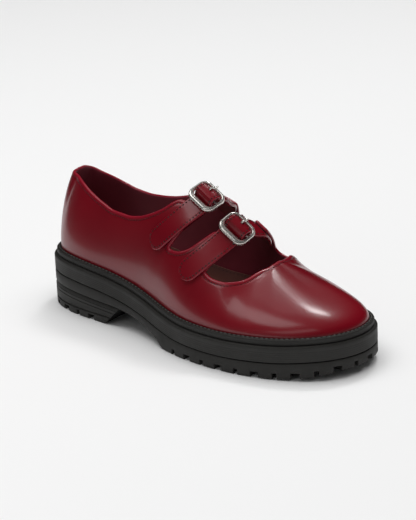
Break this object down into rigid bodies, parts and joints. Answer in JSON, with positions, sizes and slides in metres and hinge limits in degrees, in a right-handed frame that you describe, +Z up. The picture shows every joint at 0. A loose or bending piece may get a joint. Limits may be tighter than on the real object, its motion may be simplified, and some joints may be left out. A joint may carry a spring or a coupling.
{
  "type": "mary jane shoe",
  "caption": "Right mary jane shoe: hollow leather upper, two straps through centre-bar buckles, lugged rubber sole with a low block heel.",
  "frame": {"origin": "on the floor under the middle of the shoe's outline", "axes": "+X from heel to toe, +Y towards the inner side of the foot, +Z up"},
  "size_m": [0.268, 0.1059, 0.108],
  "materials": {
    "upper_leather": "polished burgundy",
    "lining_leather": "matt dark brown",
    "sole_rubber": "matt black",
    "buckle_metal": "polished"
  },
  "bodies": {
    "root": {"outsole": "sole_rubber", "heel_block": "sole_rubber", "midsole": "sole_rubber", "welt": "sole_rubber", "insole": "lining_leather", "upper": "upper_leather", "back_strip": "upper_leather", "rear_strap": "upper_leather", "rear_tab": "upper_leather", "rear_buckle": "buckle_metal", "rear_prong": "buckle_metal", "front_strap": "upper_leather", "front_tab": "upper_leather", "front_buckle": "buckle_metal", "front_prong": "buckle_metal"}
  },
  "joints": []
}
